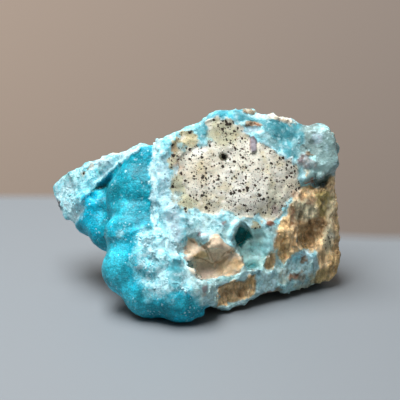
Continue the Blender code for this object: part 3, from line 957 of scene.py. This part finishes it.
class Nodes:
    """A short way to lay down a material's nodes."""

    def __init__(self, name):
        self.material = bpy.data.materials.new(name)
        self.material.use_nodes = True
        self.tree = self.material.node_tree
        self.surface = self.tree.nodes["Principled BSDF"]
        self.place = self.tree.nodes.new("ShaderNodeTexCoord").outputs["Object"]

    def node(self, kind, values=(), **settings):
        """One node of this kind, with what goes into its sockets."""
        made = self.tree.nodes.new("ShaderNode" + kind)
        for name, value in settings.items():
            setattr(made, name, value)
        for socket, value in dict(values).items():
            self.set(made.inputs[socket], value)
        return made

    def set(self, socket, value):
        """Links a socket to another, or gives it a value. Colours have three numbers."""
        if isinstance(value, bpy.types.NodeSocket):
            self.tree.links.new(value, socket)
        elif socket.type == "RGBA":
            socket.default_value = (*value, 1.0)
        else:
            socket.default_value = value

    def set_surface(self, **values):
        """Sets the shader's own sockets, whose names have _ for a space here."""
        for name, value in values.items():
            self.set(self.surface.inputs[name.replace("_", " ")], value)

    def attribute(self, name, output="Fac"):
        return self.node("Attribute", attribute_name=name).outputs[output]

    def noise(self, size, detail, roughness=0.55, place=None):
        """Noise with lumps of this size in millimetres."""
        values = {"Vector": place or self.place, "Scale": 1.0 / (size * MM)}
        values.update({"Detail": detail, "Roughness": roughness})
        return self.node("TexNoise", values).outputs["Fac"]

    def voronoi(self, size, place, feature="F1"):
        """Cells of this size in millimetres."""
        return self.node("TexVoronoi", {"Vector": place, "Scale": 1.0 / (size * MM)}, feature=feature)

    def chances(self, cells):
        """Three chances, from 0 to 1, that are the same all over a cell."""
        return self.node("SeparateColor", {"Color": cells.outputs["Color"]}).outputs

    def math(self, operation, first, second=0.0, third=0.0, clamp=False):
        made = self.node("Math", {0: first, 1: second, 2: third}, operation=operation)
        made.use_clamp = clamp
        return made.outputs[0]

    def times(self, first, second):
        return self.math("MULTIPLY", first, second)

    def span(self, value, low, high, start=0.0, end=1.0):
        """The value, mapped smoothly from one span to another."""
        values = {"Value": value, "From Min": low, "From Max": high, "To Min": start, "To Max": end}
        return self.node("MapRange", values, interpolation_type="SMOOTHSTEP").outputs["Result"]

    def mix(self, share, first, second):
        """One colour with a share of another. Sockets 6, 7 and 2 are the Mix node's colours."""
        return self.node("Mix", {"Factor": share, 6: first, 7: second}, data_type="RGBA").outputs[2]

    def scaled(self, colour, shade):
        """The colour, lightened or darkened."""
        return self.node("VectorMath", {0: colour, "Scale": shade}, operation="SCALE").outputs[0]

    def warped(self, size, amount):
        """Object coordinates, stirred by noise, in millimetres."""
        values = {"Vector": self.place, "Scale": 1.0 / (size * MM), "Detail": 2.0}
        stirring = self.node("TexNoise", values).outputs["Color"]
        centred = self.node("VectorMath", {0: stirring, 1: (0.5, 0.5, 0.5)}, operation="SUBTRACT")
        shift = self.scaled(centred.outputs[0], amount * MM)
        return self.node("VectorMath", {0: self.place, 1: shift}, operation="ADD").outputs[0]

    def bump(self, height, distance, strength, normal=None):
        """The surface's slant where this height, from 0 to 1, is a distance in millimetres."""
        made = self.node("Bump", {"Height": height, "Distance": distance * MM, "Strength": strength})
        if normal is not None:
            self.set(made.inputs["Normal"], normal)
        return made.outputs["Normal"]


class StoneNodes(Nodes):
    """The stone's nodes. Its colours come from the mesh, and its fine grain from here."""

    def __init__(self):
        super().__init__("stone")
        self.tint = self.attribute("tint", "Color")
        self.stirred = self.warped(0.8, 0.5)
        self.torn = self.warped(2.0, 1.6)
        grain = bpy.context.scene.hemimorphite_crust.grain
        self.grain = self.voronoi(grain / MM, self.stirred)
        self.facets = self.chances(self.voronoi(0.7, self.stirred))
        self.specks = self.dark_specks()

    def crust(self):
        """Tiny crystals, each a little lighter or darker, and some painted white, as white grains and
        as glints.
        """
        chance = self.chances(self.grain)
        shade = self.span(chance[0], 0.0, 1.0, 0.74, 1.22)
        cloud = self.span(self.noise(4.0, 4.0), 0.3, 0.7, 0.82, 1.2)
        white_grain_and_glint = self.span(chance[1], 0.93, 0.97, 0.0, 0.55)
        crowd = self.span(self.noise(5.0, 2.0), 0.42, 0.62, 0.15, 1.0)
        shaded = self.scaled(self.tint, self.times(shade, cloud))
        return self.mix(self.times(white_grain_and_glint, crowd), shaded, linear("frost"))

    def ice(self):
        """Facets of their own shade, and white veins, dust and sugar between them."""
        broad = self.chances(self.voronoi(1.5, self.stirred))
        broad_shade = self.span(broad[0], 0.0, 1.0, 0.82, 1.12)
        shade = self.times(broad_shade, self.span(self.facets[0], 0.0, 1.0, 0.90, 1.10))
        cracks = self.voronoi(2.8, self.torn, "DISTANCE_TO_EDGE").outputs["Distance"]
        shade = self.times(shade, self.span(cracks, 0.05, 0.45, 1.05, 0.90))
        veins = self.span(cracks, 0.015, 0.11, 0.5, 0.0)
        veins = self.times(veins, self.span(self.noise(3.0, 3.0), 0.42, 0.60))
        dust = self.span(self.noise(1.3, 5.0, 0.7, self.stirred), 0.52, 0.66, 0.0, 0.5)
        sugar = self.span(self.facets[1], 0.76, 0.82, 0.0, 0.5)
        white = self.math("MAXIMUM", self.math("MAXIMUM", dust, veins), sugar)
        return self.mix(white, self.scaled(self.tint, shade), linear("frost"))

    def glassy(self):
        """Smooth shades, and thin white wisps."""
        wisps = self.span(self.noise(2.6, 5.0, 0.75, self.torn), 0.56, 0.70, 0.0, 0.55)
        depth = self.span(self.noise(2.2, 4.0, 0.6, self.torn), 0.35, 0.65, 0.82, 1.16)
        return self.mix(wisps, self.scaled(self.tint, depth), linear("frost"))

    def dark_specks(self):
        """Where the dark specks of the matrix lie, from 0 to 1."""
        place = self.warped(0.8, 0.9)
        gap = bpy.context.scene.hemimorphite_matrix.speck_gap / MM
        crowd = self.span(self.noise(6.0, 2.0), 0.35, 0.65, -0.05, 0.05)
        specks = 0.0
        for size, rarity, reach, depth in SPECKS:
            cells = self.voronoi(gap * size, place)
            chance = self.math("ADD", self.chances(cells)[0], crowd)
            radius = self.span(chance, rarity, 1.0, 0.0, reach)
            edge = self.math("SUBTRACT", radius, cells.outputs["Distance"])
            specks = self.math("MAXIMUM", specks, self.span(edge, -0.02, 0.06, 0.0, depth))
        return specks

    def matrix(self):
        """Fine grain, and the dark specks."""
        grit = self.span(self.noise(0.5, 3.0, 0.7), 0.25, 0.75, 0.84, 1.14)
        dark = tuple(bpy.context.scene.hemimorphite_matrix.speck_colour)
        return self.mix(self.specks, self.scaled(self.tint, grit), dark)

    def clay(self):
        """Streaks that run upwards, dark pits and pale dust."""
        upward = self.node("Mapping", {"Vector": self.stirred, "Scale": UPRIGHT}, vector_type="POINT")
        streaks = self.span(self.noise(1.3, 5.0, 0.65, upward.outputs[0]), 0.32, 0.68, 0.66, 1.38)
        pits = self.span(self.noise(0.6, 2.0, 0.6), 0.30, 0.40, 0.62, 1.0)
        dust = self.span(self.noise(2.2, 4.0, 0.65, self.stirred), 0.56, 0.68)
        shaded = self.scaled(self.tint, self.times(streaks, pits))
        return self.mix(self.times(dust, 0.45), shaded, linear("sand"))

    def dull(self):
        """Clay that is nearly plain."""
        shade = self.span(self.noise(0.8, 5.0, 0.65, self.stirred), 0.3, 0.7, 0.86, 1.12)
        return self.scaled(self.tint, shade)

    def firm(self, share):
        """A share with a crisper, noisier edge than the mesh can carry."""
        stray = self.span(self.noise(0.7, 3.0, 0.6), 0.0, 1.0, -0.35, 0.35)
        return self.span(self.math("ADD", share, stray), 0.35, 0.65)


def stone_material():
    """The whole stone, in its six finishes."""
    made = StoneNodes()
    ice, glassy, matrix, clay, dull = [made.attribute(finish) for finish in FINISHES[1:]]
    layers = (
        (ice, made.ice()),
        (glassy, made.glassy()),
        (matrix, made.matrix()),
        (clay, made.clay()),
        (dull, made.dull()),
    )
    colour = made.crust()
    for share, other in layers:
        colour = made.mix(made.firm(share), colour, other)
    earthy = made.math("ADD", made.math("ADD", matrix, clay), dull, clamp=True)
    gloss = bpy.context.scene.hemimorphite_crust.gloss
    roughness = made.span(earthy, 0.2, 0.8, gloss, EARTH_ROUGHNESS)
    roughness = made.math("MULTIPLY_ADD", glassy, -0.20, roughness)
    blocks = made.times(made.facets[2], made.math("ADD", ice, glassy))
    slant = made.bump(blocks, 0.15, 0.5)
    slant = made.bump(made.noise(0.35, 3.0, 0.7), 0.10, 0.6, slant)
    slant = made.bump(made.times(made.specks, matrix), -0.25, 0.7, slant)
    tiny = made.times(made.grain.outputs["Distance"], made.math("SUBTRACT", 1.0, earthy))
    slant = made.bump(tiny, -0.16, 0.8, slant)
    made.set_surface(
        Base_Color=colour,
        Roughness=roughness,
        IOR=1.36,
        Subsurface_Weight=0.12,
        Subsurface_Radius=(0.4, 0.9, 1.0),
        Subsurface_Scale=1.2 * MM,
        Normal=slant,
    )
    return made.material


def crystal_material():
    """Clear to milky crystals, tinted by the stone beneath them."""
    made = Nodes("crystals")
    made.set_surface(
        Base_Color=made.attribute("tint", "Color"),
        Roughness=0.22,
        IOR=1.61,
        Subsurface_Weight=0.2,
        Subsurface_Radius=(0.6, 0.9, 1.0),
        Subsurface_Scale=0.8 * MM,
    )
    return made.material


def crumb_material():
    """Crumbs of clay and of dull crust, tinted by the stone beneath them."""
    made = Nodes("crumbs")
    shade = made.span(made.noise(0.8, 3.0), 0.3, 0.7, 0.75, 1.2)
    made.set_surface(
        Base_Color=made.scaled(made.attribute("tint", "Color"), shade),
        Roughness=EARTH_ROUGHNESS,
        Normal=made.bump(made.noise(0.3, 3.0), 0.08, 0.6),
    )
    return made.material


# Crystals and crumbs laid on the stone


def blade():
    """One blade of hemimorphite: a flat prism with a wedge on top, about one unit high along +Z."""
    bpy.ops.object.select_all(action="DESELECT")
    bpy.ops.mesh.primitive_cube_add(size=1.0)
    obj = bpy.context.object
    bpy.ops.object.mode_set(mode="EDIT")
    bpy.ops.transform.resize(value=BLADE)
    bpy.ops.mesh.select_all(action="DESELECT")
    shape = bmesh.from_edit_mesh(obj.data)
    top = max(shape.faces, key=lambda face: face.calc_center_median().z)
    top.select = True
    bmesh.update_edit_mesh(obj.data)
    bpy.ops.mesh.extrude_region_move(TRANSFORM_OT_translate={"value": (0.0, 0.0, WEDGE_RISE)})
    bpy.ops.transform.resize(value=WEDGE)
    bpy.ops.object.mode_set(mode="OBJECT")
    bpy.ops.object.transform_apply(location=True, rotation=True, scale=True)
    return take_shape(obj)


def crumb():
    """One angular crumb, about one unit across."""
    bpy.ops.object.select_all(action="DESELECT")
    bpy.ops.mesh.primitive_ico_sphere_add(subdivisions=1, radius=0.5)
    obj = bpy.context.object
    places = vectors(obj.data.vertices, "co")
    put_vertices(obj.data, places * (1.0 + CRUMB_ROUGH * stirred(places, 400.0)))
    return take_shape(obj)


def take_shape(obj):
    """The object's corners and triangles, after which the object itself goes."""
    obj.data.calc_loop_triangles()
    places = vectors(obj.data.vertices, "co")
    triangles = np.empty(3 * len(obj.data.loop_triangles), dtype=np.int32)
    obj.data.loop_triangles.foreach_get("vertices", triangles)
    bpy.data.objects.remove(obj)
    return places, triangles.reshape(-1, 3)


def pick(stone, weights, count, chance):
    """Random faces of the stone, more of them where the weights are higher: place, normal, tint."""
    mesh = stone.data
    areas = np.empty(len(mesh.polygons))
    mesh.polygons.foreach_get("area", areas)
    middles = vectors(mesh.polygons, "center")
    normals = vectors(mesh.polygons, "normal")
    corners = np.empty(len(mesh.polygons), dtype=np.int32)
    mesh.polygons.foreach_get("loop_start", corners)
    first = np.empty(len(mesh.loops), dtype=np.int32)
    mesh.loops.foreach_get("vertex_index", first)
    vertex = first[corners]
    share = areas * np.maximum(weights(middles, normals, vertex), 0.0)
    share[middles[:, 2] < BARE_FOOT] = 0.0
    picked = chance.choice(len(share), count, replace=False, p=share / share.sum())
    return middles[picked], normals[picked], fetch(mesh, "tint")[vertex[picked]]


def turned(normals, sway, chance):
    """The axes of pieces that stand on the stone, each spun, tilted and stretched by chance."""
    count = len(normals)
    spin = chance.uniform(0.0, 2.0 * math.pi, count)
    upward = normals + chance.normal(0.0, sway, (count, 3))
    upward /= np.linalg.norm(upward, axis=1)[:, None]
    helper = np.where(np.abs(upward[:, 2:]) < 0.9, (0.0, 0.0, 1.0), (1.0, 0.0, 0.0))
    side = np.cross(helper, upward)
    side /= np.linalg.norm(side, axis=1)[:, None]
    other = np.cross(upward, side)
    across = side * np.cos(spin)[:, None] + other * np.sin(spin)[:, None]
    along = np.cross(upward, across)
    stretch = chance.uniform(0.8, 1.3, (count, 3))
    return np.stack((across, along, upward), axis=1) * stretch[:, :, None]


def joined(name, places, faces):
    """One object from the corners and triangles of many pieces."""
    mesh = bpy.data.meshes.new(name)
    mesh.vertices.add(places.size // 3)
    mesh.vertices.foreach_set("co", places.ravel())
    mesh.loops.add(faces.size)
    mesh.loops.foreach_set("vertex_index", faces.ravel())
    mesh.polygons.add(faces.size // 3)
    mesh.polygons.foreach_set("loop_start", np.arange(0, faces.size, 3))
    mesh.update(calc_edges=True)
    mesh.validate()
    obj = bpy.data.objects.new(name, mesh)
    bpy.context.scene.collection.objects.link(obj)
    return obj


def scatter(name, count, shape, material, weights, tinted, seed, sizes, sway, sunk):
    """Lays pieces of one shape on the stone, each at its own spot, size and turn, as one object."""
    chance = np.random.default_rng(seed)
    spots, normals, tints = pick(bpy.data.objects[STONE], weights, count, chance)
    size = chance.uniform(*sizes, count) * MM
    spots = spots - normals * sunk * size[:, None]
    tints = tinted(tints, chance)
    corners, triangles = shape
    axes = turned(normals, sway, chance) * size[:, None, None]
    places = np.einsum("vk,nkj->nvj", corners, axes) + spots[:, None, :]
    faces = triangles[None] + (np.arange(count) * len(corners))[:, None, None]
    piece = joined(name, places, faces)
    store(piece.data, "tint", np.repeat(tints, len(corners), axis=0))
    piece.data.materials.append(material)
    ride(piece)


def share_of(finish):
    """How much of a finish each vertex of the stone has."""
    return fetch(bpy.data.objects[STONE].data, finish)


def ride(piece, stands_for=None):
    """Ties a piece to the body, and hides the imported node that it stands in for."""
    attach(piece, BODY)
    if stands_for:
        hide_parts(stands_for)


# The stage


def build_table(settings):
    """The table top. Its far edge runs close behind the stone, and is out of focus."""
    mesh = bpy.data.meshes.new("table")
    shape = bmesh.new()
    solid = shape.verts.layers.float.new("solid")
    # The near side, where the blur starts, and where it has faded out
    rows = []
    for blur, share in ((None, 1.0), (-EDGE_BLUR, 1.0), (EDGE_BLUR, 0.0)):
        row = []
        for right, back in TABLE_EDGE:
            place = (right, -TABLE_NEAR if blur is None else back + blur, 0.0)
            vertex = shape.verts.new(Vector(place) * MM)
            vertex[solid] = share
            row.append(vertex)
        rows.append(row)
    for near, far in zip(rows, rows[1:]):
        for left in range(len(near) - 1):
            shape.faces.new((near[left], near[left + 1], far[left + 1], far[left]))
    shape.to_mesh(mesh)
    shape.free()
    table = bpy.data.objects.new("table", mesh)
    bpy.context.scene.collection.objects.link(table)
    made = Nodes("table")
    made.set_surface(
        Base_Color=tuple(settings.table_colour),
        Roughness=0.55,
        Alpha=made.attribute("solid"),
    )
    mesh.materials.append(made.material)


def build_wall(settings):
    """The wall behind, glowing with painted light: brighter and warmer at the left, and brighter
    towards the top.
    """
    bpy.ops.object.select_all(action="DESELECT")
    bpy.ops.mesh.primitive_plane_add(size=1.0)
    wall = bpy.context.object
    wall.name = "wall"
    bpy.ops.object.mode_set(mode="EDIT")
    bpy.ops.transform.resize(value=(WALL_WIDE, WALL_HIGH, 1.0))
    bpy.ops.object.mode_set(mode="OBJECT")
    upright = Matrix.Rotation(math.radians(90.0), 4, "X")
    wall.data.transform(Matrix.Translation((0.0, WALL_BACK, 0.0)) @ upright)
    made = Nodes("wall")
    place = made.node("SeparateXYZ", {"Vector": made.place})
    across = made.span(place.outputs["X"], -0.75, 0.75)
    upward = made.span(place.outputs["Z"], -0.75, 0.15, 0.80, 1.10)
    glow = np.array(settings.wall_colour)
    warm, dim = tuple(glow), tuple(glow * (0.62, 0.66, 0.72))
    # The wall's colour is painted light that glows, falling off to the right and downwards
    made.set_surface(
        Base_Color=(0.05, 0.05, 0.05),
        Emission_Color=made.scaled(made.mix(across, warm, dim), upward),
        Emission_Strength=1.0,
        Roughness=0.9,
    )
    wall.data.materials.append(made.material)


def build_light(settings):
    """A large soft light overhead, a little to the left, in a pale room."""
    lamp = bpy.data.lights.new("soft light", "AREA")
    lamp.shape = "RECTANGLE"
    lamp.size, lamp.size_y = LAMP_SIZE
    lamp.energy = settings.key_power
    light = bpy.data.objects.new("soft light", lamp)
    bpy.context.scene.collection.objects.link(light)
    light.location = LAMP_PLACE
    light.rotation_mode = "QUATERNION"
    light.rotation_quaternion = (LAMP_AIM - LAMP_PLACE).to_track_quat("-Z", "Y")
    world = bpy.data.worlds.new("pale room")
    world.use_nodes = True
    world.node_tree.nodes["Background"].inputs["Color"].default_value = ROOM_COLOUR
    world.node_tree.nodes["Background"].inputs["Strength"].default_value = ROOM_LIGHT
    bpy.context.scene.world = world
    bpy.context.scene.view_settings.view_transform = "Standard"


def place_camera():
    """The camera, at the photograph's viewing angle."""
    lens = bpy.data.cameras.new("camera")
    lens.lens = LENS
    lens.sensor_width = SENSOR
    lens.clip_start = 10 * MM
    camera = bpy.data.objects.new("camera", lens)
    bpy.context.scene.collection.objects.link(camera)
    back = Vector((0.0, -math.cos(CAMERA_TILT), math.sin(CAMERA_TILT)))
    camera.location = LOOKS_AT + back * CAMERA_AWAY
    camera.rotation_mode = "QUATERNION"
    camera.rotation_quaternion = (-back).to_track_quat("-Z", "Y")
    bpy.context.scene.camera = camera


# One operator for each piece, and one for the stage


class HEMIMORPHITE_OT_stone(bpy.types.Operator):
    """Build the stone itself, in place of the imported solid"""

    bl_idname = "hemimorphite.stone"
    bl_label = "Stone"

    def execute(self, context):
        ride(build_stone(), NODE)
        return {"FINISHED"}


class HEMIMORPHITE_OT_druse(bpy.types.Operator):
    """Cover the blue crust with small glinting crystals"""

    bl_idname = "hemimorphite.druse"
    bl_label = "Druse"

    def execute(self, context):
        crust = share_of("crust")

        def weights(middles, normals, vertex):
            return crust[vertex] * eased(0.35 + 1.4 * rough(middles, 5.0, 2))

        def tinted(tints, chance):
            return toward(tints, "ice", chance.beta(0.8, 2.4, len(tints)))

        count = context.scene.hemimorphite_crust.crystals
        scatter("druse", count, blade(), crystal_material(), weights, tinted, **DRUSE)
        return {"FINISHED"}


class HEMIMORPHITE_OT_white_blades(bpy.types.Operator):
    """Lay larger white blades in the white patch, on the lips and on the wing"""

    bl_idname = "hemimorphite.white_blades"
    bl_label = "White Blades"

    def execute(self, context):
        ice = share_of("ice")

        def weights(middles, normals, vertex):
            spots = seen(middles)
            strong = 3.0 * eased(0.5 + WHITE_PATCH.inside(spots) / 8.0)
            strong += 3.0 * eased(0.5 + Stroke(7.0, *LIP, *BELOW_LIP).inside(spots) / 4.0)
            strong += 2.0 * eased(0.5 + Stroke(6.0, *WING_LIP).inside(spots) / 4.0)
            return ice[vertex] * (0.35 + strong * facing(normals)) * eased(0.4 + rough(middles, 4.0, 2))

        def tinted(tints, chance):
            return toward(tints, "frost", chance.uniform(0.3, 0.95, len(tints)))

        count = context.scene.hemimorphite_crust.blades
        scatter("white_blades", count, blade(), crystal_material(), weights, tinted, **WHITE_BLADES)
        return {"FINISHED"}


class HEMIMORPHITE_OT_crumbs(bpy.types.Operator):
    """Stick crumbs of clay and crust to the broken sides"""

    bl_idname = "hemimorphite.crumbs"
    bl_label = "Crumbs"

    def execute(self, context):
        clay, ice = share_of("clay"), share_of("ice")

        def weights(middles, normals, vertex):
            return (clay[vertex] + 0.5 * ice[vertex]) * eased(0.35 + rough(middles, 4.0, 2))

        def tinted(tints, chance):
            return tints * chance.uniform(0.7, 1.35, len(tints))[:, None]

        count = context.scene.hemimorphite_matrix.crumbs
        scatter("crumbs", count, crumb(), crumb_material(), weights, tinted, **CRUMBS)
        return {"FINISHED"}


class HEMIMORPHITE_OT_stage(bpy.types.Operator):
    """Set up the table, the wall, the soft light and the camera"""

    bl_idname = "hemimorphite.stage"
    bl_label = "Stage"

    def execute(self, context):
        settings = context.scene.hemimorphite_stage
        build_table(settings)
        build_wall(settings)
        build_light(settings)
        place_camera()
        return {"FINISHED"}


# The add-on

SETTINGS = {
    "hemimorphite_crust": CrustSettings,
    "hemimorphite_matrix": MatrixSettings,
    "hemimorphite_stage": StageSettings,
}
OPERATORS = (
    HEMIMORPHITE_OT_stone,
    HEMIMORPHITE_OT_druse,
    HEMIMORPHITE_OT_white_blades,
    HEMIMORPHITE_OT_crumbs,
    HEMIMORPHITE_OT_stage,
)


class HEMIMORPHITE_PT_panel(bpy.types.Panel):
    """The specimen's pieces and settings"""

    bl_idname = "HEMIMORPHITE_PT_panel"
    bl_label = "Hemimorphite"
    bl_space_type = "VIEW_3D"
    bl_region_type = "UI"
    bl_category = "Hemimorphite"

    def draw(self, context):
        for name in SETTINGS:
            box = self.layout.box()
            settings = getattr(context.scene, name)
            for setting in settings.__annotations__:
                box.prop(settings, setting)
        for operator in OPERATORS:
            self.layout.operator(operator.bl_idname)


def register():
    for name, settings in SETTINGS.items():
        bpy.utils.register_class(settings)
        setattr(bpy.types.Scene, name, PointerProperty(type=settings))
    for operator in OPERATORS:
        bpy.utils.register_class(operator)
    bpy.utils.register_class(HEMIMORPHITE_PT_panel)


def unregister():
    bpy.utils.unregister_class(HEMIMORPHITE_PT_panel)
    for operator in reversed(OPERATORS):
        bpy.utils.unregister_class(operator)
    for name, settings in SETTINGS.items():
        delattr(bpy.types.Scene, name)
        bpy.utils.unregister_class(settings)


def main():
    bpy.context.view_layer.update()
    register()
    bpy.ops.hemimorphite.stone()
    bpy.ops.hemimorphite.druse()
    bpy.ops.hemimorphite.white_blades()
    bpy.ops.hemimorphite.crumbs()
    bpy.ops.hemimorphite.stage()
    bpy.context.view_layer.update()


if __name__ == "__main__":
    main()
